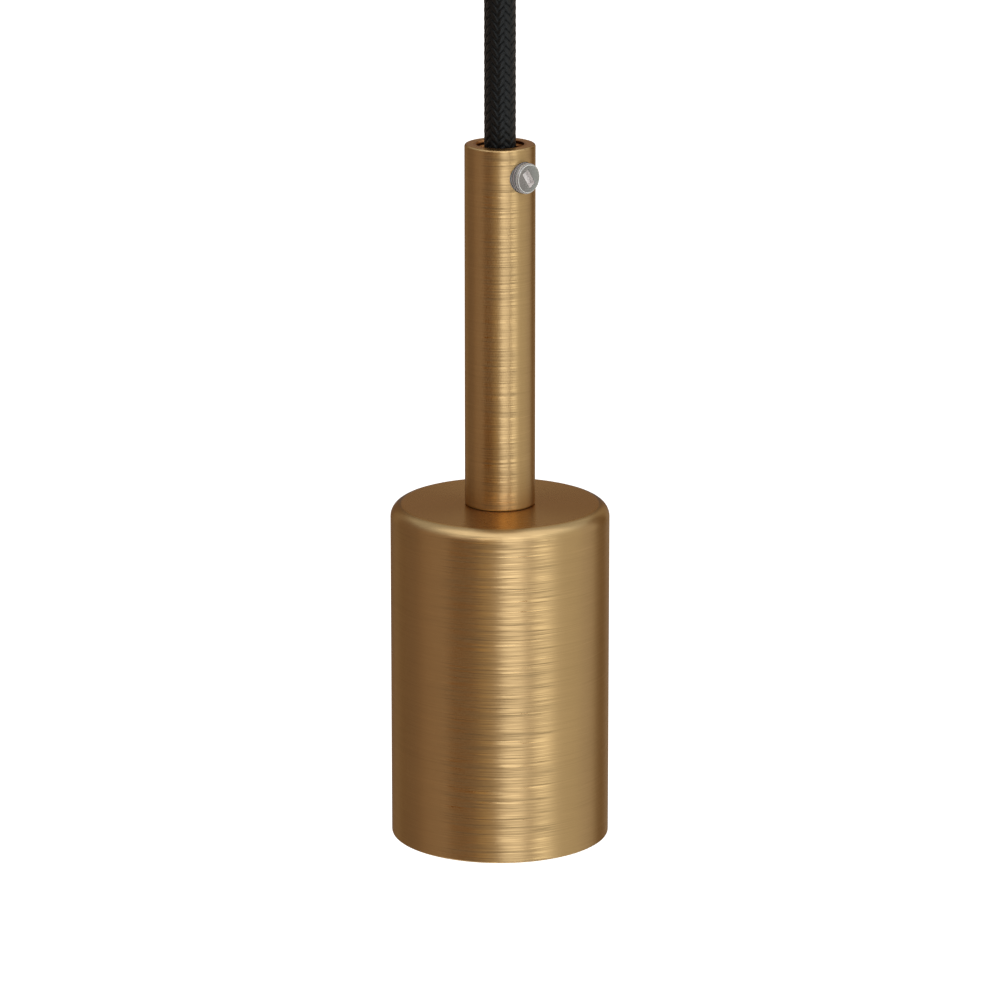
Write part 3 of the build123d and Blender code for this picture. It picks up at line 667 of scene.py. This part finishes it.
def clear_plastic(name, level):
    """Hazy clear plastic with painted light: painted shade in the thread's grooves, painted highlights
    on its crests and rims, and a pale slot that is partly frosted and partly painted light.
    """
    look = Look(name, IOR=1.49)
    haze = look.noise(look.place, scale=700, detail=3)
    flow = look.noise(look.place, scale=2600, detail=2)
    along_x = math.cos(SCREW_ANGLE)
    along_y = math.sin(SCREW_ANGLE)
    out = look.plus(look.times(look.x, along_x), look.times(look.y, along_y))
    side = look.minus(look.times(look.y, along_x), look.times(look.x, along_y))
    from_axis = look.length(side, look.minus(look.z, level))
    body = look.step(out, BRIM - BODY_ZONE, BRIM, 1.0, 0.0)
    outer = look.step(from_axis, FACE_RADIUS - INNER_RIM_INSET, FACE_RADIUS + INNER_RIM_INSET)

    # Two thin painted highlights on the rims, one each side of the chamfer, brighter on the side away
    # from the front
    inner_rim = look.size(look.minus(from_axis, FACE_RADIUS - INNER_RIM_INSET))
    inner_rim = look.step(inner_rim, *INNER_RIM, 1.0, 0.0)
    outer_rim = look.size(look.minus(out, BRIM - OUTER_RIM_INSET))
    outer_rim = look.times(look.step(outer_rim, *OUTER_RIM, 1.0, 0.0), outer)
    rims = look.math("MAXIMUM", look.times(inner_rim, 0.62), outer_rim)
    rims = look.times(rims, look.step(side, 0.0003, 0.002, 1.0, 0.35))

    crest = look.step(from_axis, *[SCREW_RADIUS - depth for depth in CREST_ZONE])
    groove = look.times(body, look.minus(1.0, crest))
    milled = look.step(out, *[SCREW_END - depth for depth in MILLED_ZONE], 1.0, 0.0)
    milled = look.times(milled, look.minus(1.0, outer))
    milled = look.times(milled, look.step(from_axis, MILLED_REACH - 0.0001, MILLED_REACH, 1.0, 0.0))
    # Painted shade on one side of the screw and painted light on the other
    tone = look.blend(look.step(side, -0.002, 0.0025), PLASTIC_PAINTED_SHADE, PLASTIC_PAINTED_LIGHT)
    # Painted highlights on the thread's crests, painted shade in its grooves
    tone = look.blend(crest, tone, PLASTIC_CREST_HIGHLIGHT)
    tone = look.blend(groove, tone, PLASTIC_GROOVE_SHADE)
    tone = look.blend(rims, tone, PLASTIC_RIM_HIGHLIGHT)
    # The slot takes a pale tone: partly the frosted milled plastic, partly painted light on its shaded
    # wall
    tone = look.blend(milled, tone, PLASTIC_MILLED_AND_LIT)
    look.set("Base Color", look.scaled(tone, look.plus(look.total((haze, 0.2)), 1.0)))
    milky = look.math("MAXIMUM", milled, inner_rim)
    look.set("Transmission Weight", look.minus(0.55, look.times(milky, 0.4)))
    look.set("Roughness", look.plus(look.total((haze, 0.15), (flow, 0.1)), 0.2))
    look.set("Normal", look.bump(flow, 0.00002, 0.2))
    return look


screw_piece("threaded_clamp_screw", SCREW_LEVEL, "clamp_screw")
screw_piece("threaded_grip_screw", GRIP_SCREW_LEVEL, "grip_screw")


# Screw shell: sheet rolled into a true helix, with its flange and drawn corner

SHELL_TOP = FLANGE_TOP - SHELL_LEAD
SHELL_BOTTOM = SHELL_TOP - SHELL_TURNS * SHELL_PITCH - SHELL_LEAD
SHELL_CORNER = 0.0007
WALL_GAP = 0.0002
CORNER_STEPS = 6
WALL_LEVELS = 118
SHELL_AROUND = 160

# The thread's wave fades in from above its top, and out before the foot of the wall
WAVE_ABOVE_TOP = 0.0006
WAVE_ABOVE_FOOT = 0.001
WAVE_FADE = 0.0016


def shell_radius(level, angle):
    """Inside radius of the rolled wall, full in its leads and waved between them."""
    phase = (SHELL_TOP - level) / SHELL_PITCH + angle / (2 * math.pi)
    wave = 0.5 - 0.5 * math.cos(2 * math.pi * phase)
    depth = clipped((SHELL_TOP + WAVE_ABOVE_TOP - level) / WAVE_FADE)
    depth = min(depth, max(0, (level - SHELL_BOTTOM - WAVE_ABOVE_FOOT) / WAVE_FADE))
    return SHELL_MAJOR - (SHELL_MAJOR - SHELL_MINOR) * wave * smooth_step(depth)


def shell_section(angle):
    """Section of the sheet at this angle, from the flange's hole down and back up."""
    inside = [(SHELL_HOLE, FLANGE_TOP - SHELL_SHEET)]
    outside = [(SHELL_HOLE, FLANGE_TOP)]
    bend = SHELL_MAJOR - SHELL_CORNER
    wide = SHELL_CORNER + SHELL_SHEET
    for step in range(CORNER_STEPS + 1):
        turn = math.pi / 2 * step / CORNER_STEPS
        drop = 1 - math.cos(turn)
        inside.append((bend + SHELL_CORNER * math.sin(turn),
                       FLANGE_TOP - SHELL_SHEET - SHELL_CORNER * drop))
        outside.append((bend + wide * math.sin(turn), FLANGE_TOP - wide * drop))
    wall_top = FLANGE_TOP - SHELL_SHEET - SHELL_CORNER - WALL_GAP
    for level in np.linspace(wall_top, SHELL_BOTTOM, WALL_LEVELS):
        radius = shell_radius(level, angle)
        inside.append((radius, level))
        outside.append((radius + SHELL_SHEET, level))
    return inside + outside[::-1]


shell = add_piece("rolled_screw_shell", *revolved(shell_section, SHELL_AROUND))
shell.data.set_sharp_from_angle(angle=math.radians(50))
rolled = cast("rolled_plated_sheet", (0.66, 0.63, 0.57, 1), 0.24, metallic=1.0, grain=0.0014,
              depth=0.00001)
shell.data.materials.append(rolled.material)
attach(shell, "holder")
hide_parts("screw_shell")


# Surroundings: white to the camera, in gloss and through clear pieces, and a warm grey as light

FLOOR_LEVEL = -1.95
FLOOR_HALF = 90
FLOOR_PAINT = (0.86, 0.86, 0.86, 1)
FLOOR_GLOW = 0.78
SURROUNDING_LIGHT = (0.6, 0.55, 0.51, 1)


def shown_white(tree):
    """1 for rays that show the background: seen by the camera, in gloss or through clear pieces."""
    rays = tree.nodes.new("ShaderNodeLightPath")
    seen = rays.outputs["Is Camera Ray"]
    for kind in ("Is Glossy Ray", "Is Transmission Ray"):
        either = tree.nodes.new("ShaderNodeMath")
        either.operation = "MAXIMUM"
        tree.links.new(seen, either.inputs[0])
        tree.links.new(rays.outputs[kind], either.inputs[1])
        seen = either.outputs[0]
    return seen


def plain_material(name):
    """Material with nothing but an output yet."""
    material = bpy.data.materials.new(name)
    material.use_nodes = True
    tree = material.node_tree
    tree.nodes.clear()
    return material, tree, tree.nodes.new("ShaderNodeOutputMaterial").inputs["Surface"]


# The floor lies far below the hanging object
around_floor = ((-1, -1), (1, -1), (1, 1), (-1, 1))
floor_corners = [(x * FLOOR_HALF, y * FLOOR_HALF, FLOOR_LEVEL) for x, y in around_floor]
floor = add_piece("floor", floor_corners, [(0, 1, 2, 3)], smooth=False)
ground, tree, surface = plain_material("pale_floor")
glow = tree.nodes.new("ShaderNodeMath")
glow.operation = "MULTIPLY"
glow.inputs[1].default_value = FLOOR_GLOW
tree.links.new(shown_white(tree), glow.inputs[0])
paint = tree.nodes.new("ShaderNodeBsdfDiffuse")
paint.inputs["Color"].default_value = FLOOR_PAINT
shine = tree.nodes.new("ShaderNodeEmission")
tree.links.new(glow.outputs[0], shine.inputs["Strength"])
both = tree.nodes.new("ShaderNodeAddShader")
tree.links.new(paint.outputs[0], both.inputs[0])
tree.links.new(shine.outputs[0], both.inputs[1])
tree.links.new(both.outputs[0], surface)
floor.data.materials.append(ground)

world = bpy.data.worlds.new("surrounding")
scene.world = world
world.use_nodes = True
sky = world.node_tree
paper = sky.nodes.new("ShaderNodeMix")
paper.data_type = "RGBA"
sky.links.new(shown_white(sky), paper.inputs["Factor"])
paper.inputs[6].default_value = SURROUNDING_LIGHT
paper.inputs[7].default_value = (1, 1, 1, 1)
sky.links.new(paper.outputs[2], sky.nodes["Background"].inputs["Color"])


# Curtains round the set, warm in front and cool behind, which only the metal's gloss meets

CURTAIN_DISTANCE = 1.75
CURTAIN_TOP = 0.95
CURTAIN_FOOT = FLOOR_LEVEL + 0.02
CURTAIN_STEPS = 48


def around_set(side, distance, height):
    """Point at this height, at an angle to the right of the camera's direction."""
    return (distance * math.sin(side), -distance * math.cos(side), height)


def curtain(name, first, last, colour):
    """Upright sheet round the object between two directions, in degrees to the right of the camera's."""
    points = []
    for step in range(CURTAIN_STEPS + 1):
        side = math.radians(first + (last - first) * step / CURTAIN_STEPS)
        for height in (CURTAIN_FOOT, CURTAIN_TOP):
            points.append(around_set(side, CURTAIN_DISTANCE, height))
    faces = [(2 * i, 2 * i + 2, 2 * i + 3, 2 * i + 1) for i in range(CURTAIN_STEPS)]
    sheet = add_piece(name, points, faces)
    cloth, cloth_tree, cloth_surface = plain_material(name)
    light = cloth_tree.nodes.new("ShaderNodeEmission")
    light.inputs["Color"].default_value = colour
    cloth_tree.links.new(light.outputs[0], cloth_surface)
    sheet.data.materials.append(cloth)
    sheet.visible_camera = False
    sheet.visible_diffuse = False
    sheet.visible_shadow = False
    sheet.visible_transmission = False


curtain("left_curtain", -170, -95, (0.46, 0.32, 0.235, 1))
curtain("side_curtain", -95, -54, (0.44, 0.26, 0.15, 1))
curtain("centre_curtain", -54, 0, (0.28, 0.11, 0.0, 1))
curtain("right_curtain", 0, 170, (0.45, 0.305, 0.195, 1))
curtain("back_curtain", 170, 190, (0.333, 0.318, 0.40, 1))


# Studio light: tall strips round the object and soft lights above it

STRIP_HEIGHT = 3.3
STRIP_MIDDLE = -0.1
NEAR_STRIP = 1.6
FAR_STRIP = 1.65
COOL = (0.95, 1.02, 1.07)


def area_light(name, width, height, brightness, place, turn, colour=(1, 1, 1)):
    """Soft rectangle of light with this brightness, which the camera doesn't see."""
    light = bpy.data.lights.new(name, "AREA")
    light.shape = "RECTANGLE"
    light.size = width
    light.size_y = height
    light.energy = brightness * width * height * math.pi
    light.color = colour
    lamp = bpy.data.objects.new(name, light)
    scene.collection.objects.link(lamp)
    lamp.location = place
    lamp.rotation_euler = [math.radians(degrees) for degrees in turn]
    lamp.visible_camera = False


def strip(name, first, last, brightness, distance=FAR_STRIP, colour=COOL):
    """Tall soft light between two directions, in degrees to the right of the camera's."""
    width = 2 * distance * math.tan(math.radians((last - first) / 2))
    middle = (first + last) / 2
    place = around_set(math.radians(middle), distance, STRIP_MIDDLE)
    area_light(name, width, STRIP_HEIGHT, brightness, place, (90, 0, middle), colour)


strip("key_strip", 2, 28, 2.1, distance=NEAR_STRIP)
strip("side_strip", 37, 57, 2.0, distance=NEAR_STRIP, colour=(0.94, 1.01, 1.0))
strip("side_fill", 57, 95, 0.83, colour=(0.93, 1.0, 0.92))
strip("rear_fill", 95, 120, 0.65)
strip("centre_fill", -20, -2, 0.3, colour=(1.12, 0.96, 0.5))
strip("left_fill", -92, -52, 0.18, colour=(1.05, 0.97, 0.85))
strip("rear_right", 145, 163, 0.45)
strip("rear_left", 208, 228, 0.25)
area_light("top_light", 2.8, 1.8, 1.7, (0.15, -0.5, 1.5), (-14, 0, 0))
area_light("brow_light", 1.7, 0.7, 1.9, (0.35, -1.3, 0.9), (50, 0, 0))
area_light("brow_left", 1.1, 0.6, 0.7, (-0.78, -1.15, 0.7), (62, 0, -34))

scene.view_settings.view_transform = "Standard"
